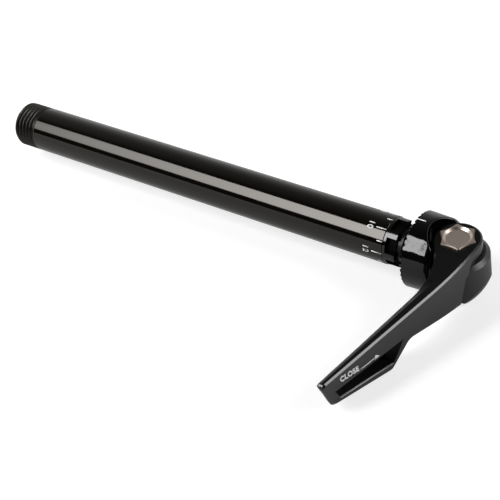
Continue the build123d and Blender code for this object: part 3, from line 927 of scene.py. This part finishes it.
# A matt white table top. What the camera sees of it is lifted to white, and what gloss mirrors, a little.
floor_lift = 0.63
mirror_lift = 0.2
table_white = blank("white_table")
tree = table_white.node_tree
path = add(tree, "ShaderNodeLightPath", {}, {})
mirrored = add(tree, "ShaderNodeMath", {"operation": "ADD", "use_clamp": True}, {
    0: path.outputs["Is Glossy Ray"], 1: path.outputs["Is Transmission Ray"],
})
seen = add(tree, "ShaderNodeMath", {"operation": "MULTIPLY"}, {
    0: path.outputs["Is Camera Ray"], 1: floor_lift,
})
lift = add(tree, "ShaderNodeMath", {"operation": "MULTIPLY_ADD"}, {
    0: mirrored.outputs["Value"], 1: mirror_lift, 2: seen.outputs["Value"],
})
glow = add(tree, "ShaderNodeEmission", {}, {"Color": (1, 1, 1, 1), "Strength": lift.outputs["Value"]})
paper = add(tree, "ShaderNodeBsdfDiffuse", {}, {"Color": (0.5, 0.5, 0.5, 1)})
both = add(tree, "ShaderNodeAddShader", {}, {0: glow.outputs["Emission"], 1: paper.outputs["BSDF"]})
add(tree, "ShaderNodeOutputMaterial", {}, {"Surface": both.outputs["Shader"]})
floor.data.materials.append(table_white)

key_lean = np.radians(42)
key_distance = 0.8
key_slope, key_level = 16.9, 15.8
key_ends = (-0.75, -0.125)
key_sides = (-0.29, 0.331)
key_x, key_v = np.meshgrid(key_ends, key_sides)
key_points = np.stack((
    key_x,
    -key_distance * np.cos(key_lean) + key_v * np.sin(key_lean),
    key_distance * np.sin(key_lean) + key_v * np.cos(key_lean),
), axis=-1)
key_box = skin("key_softbox", key_points, np.array([[0, 1, 3, 2]]))

# The cloth of the large softbox, brighter towards the head: long soft lines of light on shaft and drum.
key_light = blank("softbox_cloth_graded")
tree = key_light.node_tree
place = add(tree, "ShaderNodeTexCoord", {}, {})
axes = add(tree, "ShaderNodeSeparateXYZ", {}, {"Vector": place.outputs["Object"]})
grade = add(tree, "ShaderNodeMath", {"operation": "MULTIPLY_ADD"}, {
    0: axes.outputs["X"], 1: key_slope, 2: key_level,
})
glow = add(tree, "ShaderNodeEmission", {}, {"Color": (1, 1, 1, 1), "Strength": grade.outputs["Value"]})
add(tree, "ShaderNodeOutputMaterial", {}, {"Surface": glow.outputs["Emission"]})
key_box.data.materials.append(key_light)

rim_aim = np.array((0.77, 0.28, 0.575))
rim_distance = 0.8
rim_half = 0.17
rim_strength = 9.0
rim_target = np.array((0.165, -0.04, 0.0))
rim_side = np.cross((0, 0, 1), rim_aim)
rim_side /= np.linalg.norm(rim_side)
rim_rise = np.cross(rim_aim, rim_side)
rim_u, rim_v = np.meshgrid((-rim_half, rim_half), (-rim_half, rim_half))
rim_middle = rim_target + rim_distance * rim_aim
rim_points = rim_middle + rim_u[..., None] * rim_side + rim_v[..., None] * rim_rise
rim_box = skin("rim_softbox", rim_points, np.array([[0, 2, 3, 1]]))

# The cloth of the small softbox, even all over: a thin bright line on the edges of the lever.
rim_light = blank("softbox_cloth_even")
tree = rim_light.node_tree
glow = add(tree, "ShaderNodeEmission", {}, {"Color": (1, 1, 1, 1), "Strength": rim_strength})
add(tree, "ShaderNodeOutputMaterial", {}, {"Surface": glow.outputs["Emission"]})
rim_box.data.materials.append(rim_light)
for softbox in (key_box, rim_box):
    softbox.visible_camera = False

# The room: its pale walls stand behind the table, and it is dark overhead and behind the camera.
room = bpy.data.worlds.new("dim_studio_room")
room.use_nodes = True
tree = room.node_tree
tree.nodes.clear()
place = add(tree, "ShaderNodeTexCoord", {}, {})
axes = add(tree, "ShaderNodeSeparateXYZ", {}, {"Vector": place.outputs["Generated"]})
dusk = add(tree, "ShaderNodeMapRange", {}, {"Value": axes.outputs["Z"], "To Min": 1.0, "To Max": 0.0})
far = add(tree, "ShaderNodeMapRange", {}, {
    "Value": axes.outputs["Y"], "From Min": -0.3, "From Max": 0.05, "To Min": 0.02, "To Max": 0.9,
})
level = add(tree, "ShaderNodeMath", {"operation": "MULTIPLY"}, {
    0: dusk.outputs["Result"], 1: far.outputs["Result"],
})
glow = add(tree, "ShaderNodeBackground", {}, {"Color": (1, 1, 1, 1), "Strength": level.outputs["Value"]})
add(tree, "ShaderNodeOutputWorld", {}, {"Surface": glow.outputs["Background"]})
bpy.context.scene.world = room
bpy.context.scene.view_settings.view_transform = "Standard"

lens = bpy.data.cameras.new("photo_camera")
lens.lens = 101.39
lens.sensor_width = 36
camera = bpy.data.objects.new("photo_camera", lens)
bpy.context.scene.collection.objects.link(camera)
camera_place = Matrix.Translation((0.330, -0.29782, 0.24093))
camera_heading = Matrix.Rotation(np.radians(38.3557), 4, "Z")
camera_tilt = Matrix.Rotation(np.radians(90 - 34.7449), 4, "X")
camera_roll = Matrix.Rotation(np.radians(-5.2062), 4, "Z")
camera.matrix_world = camera_place @ camera_heading @ camera_tilt @ camera_roll
bpy.context.scene.camera = camera

bpy.context.view_layer.update()
